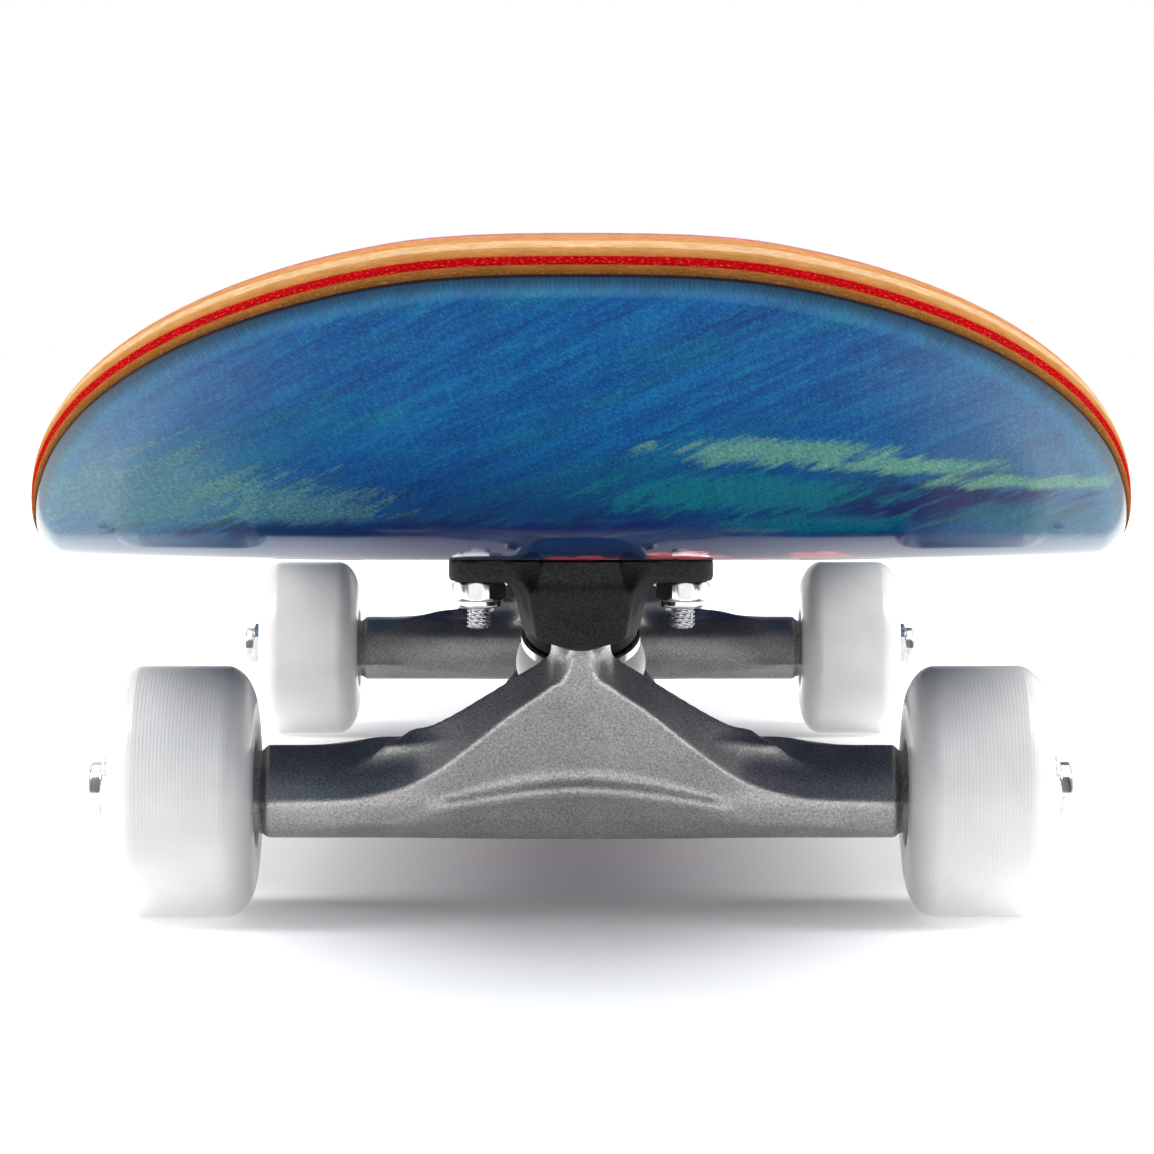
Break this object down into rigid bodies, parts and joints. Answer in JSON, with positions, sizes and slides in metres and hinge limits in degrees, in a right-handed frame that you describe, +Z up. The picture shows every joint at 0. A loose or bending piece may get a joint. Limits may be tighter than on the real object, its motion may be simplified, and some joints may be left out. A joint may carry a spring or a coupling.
{
  "type": "skateboard",
  "caption": "Street skateboard: kicked, concave seven-ply deck with grip tape, on two sprung steering trucks with bolted baseplates and urethane wheels on ball bearings.",
  "frame": {"origin": "on the ground under the middle of the deck's length and width", "axes": "+X is a nose-facing rider's left, +Y runs from the nose to the tail, +Z up; nose at -Y"},
  "size_m": [0.21, 0.8075, 0.1365],
  "materials": {
    "deck": "glossy lacquered blue stained-wood print below, bare multicoloured maple plies at the edge",
    "grip": "coarse black grit",
    "hanger": "cast, fine sandy grey metallic satin",
    "baseplate": "black satin",
    "hardware": "bright plated steel",
    "bearing": "ground steel",
    "wheel": "white satin urethane",
    "bushing": "white satin urethane",
    "pivot_cup": "black urethane",
    "nylon": "nylon lock insert"
  },
  "bodies": {
    "root": {"deck": "deck", "grip_tape": "grip", "front_baseplate": "baseplate", "front_pivot_cup": "pivot_cup", "front_kingpin": "hardware", "front_kingpin_nut": "hardware", "front_boardside_washer": "hardware", "front_boardside_bushing": "bushing", "front_roadside_bushing": "bushing", "front_roadside_washer": "hardware", "front_outer_left_deck_bolt": "hardware", "front_outer_left_deck_nut": "hardware", "front_outer_right_deck_bolt": "hardware", "front_outer_right_deck_nut": "hardware", "front_inner_left_deck_bolt": "hardware", "front_inner_left_deck_nut": "hardware", "front_inner_right_deck_bolt": "hardware", "front_inner_right_deck_nut": "hardware", "rear_baseplate": "baseplate", "rear_pivot_cup": "pivot_cup", "rear_kingpin": "hardware", "rear_kingpin_nut": "hardware", "rear_boardside_washer": "hardware", "rear_boardside_bushing": "bushing", "rear_roadside_bushing": "bushing", "rear_roadside_washer": "hardware", "rear_outer_left_deck_bolt": "hardware", "rear_outer_left_deck_nut": "hardware", "rear_outer_right_deck_bolt": "hardware", "rear_outer_right_deck_nut": "hardware", "rear_inner_left_deck_bolt": "hardware", "rear_inner_left_deck_nut": "hardware", "rear_inner_right_deck_bolt": "hardware", "rear_inner_right_deck_nut": "hardware"},
    "front_left_wheel": {"front_left_wheel": "wheel", "front_left_inboard_bearing": "bearing", "front_left_outboard_bearing": "bearing"},
    "front_right_wheel": {"front_right_wheel": "wheel", "front_right_inboard_bearing": "bearing", "front_right_outboard_bearing": "bearing"},
    "front_hanger": {"front_hanger": "hanger", "front_axle": "hardware", "front_left_bearing_spacer": "bearing", "front_left_axle_nut": "hardware", "front_right_bearing_spacer": "bearing", "front_right_axle_nut": "hardware"},
    "rear_left_wheel": {"rear_left_wheel": "wheel", "rear_left_inboard_bearing": "bearing", "rear_left_outboard_bearing": "bearing"},
    "rear_right_wheel": {"rear_right_wheel": "wheel", "rear_right_inboard_bearing": "bearing", "rear_right_outboard_bearing": "bearing"},
    "rear_hanger": {"rear_hanger": "hanger", "rear_axle": "hardware", "rear_left_bearing_spacer": "bearing", "rear_left_axle_nut": "hardware", "rear_right_bearing_spacer": "bearing", "rear_right_axle_nut": "hardware"}
  },
  "joints": [
    {"name": "front_truck_steer", "type": "hinge", "parent": "root", "child": "front_hanger", "pos_m": [0, -0.1985, 0.043], "axis": [0, -0.8669, 0.4985], "range_deg": [-15, 15], "stiffness_Nm_per_rad": 60, "deforming": ["front_boardside_bushing", "front_roadside_bushing"]},
    {"name": "front_left_wheel_spin", "type": "hinge", "parent": "front_hanger", "child": "front_left_wheel", "pos_m": [0.08175, -0.2125, 0.026], "axis": [1, 0, 0], "continuous": true},
    {"name": "front_right_wheel_spin", "type": "hinge", "parent": "front_hanger", "child": "front_right_wheel", "pos_m": [-0.08175, -0.2125, 0.026], "axis": [1, 0, 0], "continuous": true},
    {"name": "rear_truck_steer", "type": "hinge", "parent": "root", "child": "rear_hanger", "pos_m": [0, 0.2055, 0.043], "axis": [0, -0.8669, -0.4985], "range_deg": [-15, 15], "stiffness_Nm_per_rad": 60, "deforming": ["rear_boardside_bushing", "rear_roadside_bushing"]},
    {"name": "rear_left_wheel_spin", "type": "hinge", "parent": "rear_hanger", "child": "rear_left_wheel", "pos_m": [0.08175, 0.2195, 0.026], "axis": [1, 0, 0], "continuous": true},
    {"name": "rear_right_wheel_spin", "type": "hinge", "parent": "rear_hanger", "child": "rear_right_wheel", "pos_m": [-0.08175, 0.2195, 0.026], "axis": [1, 0, 0], "continuous": true}
  ]
}
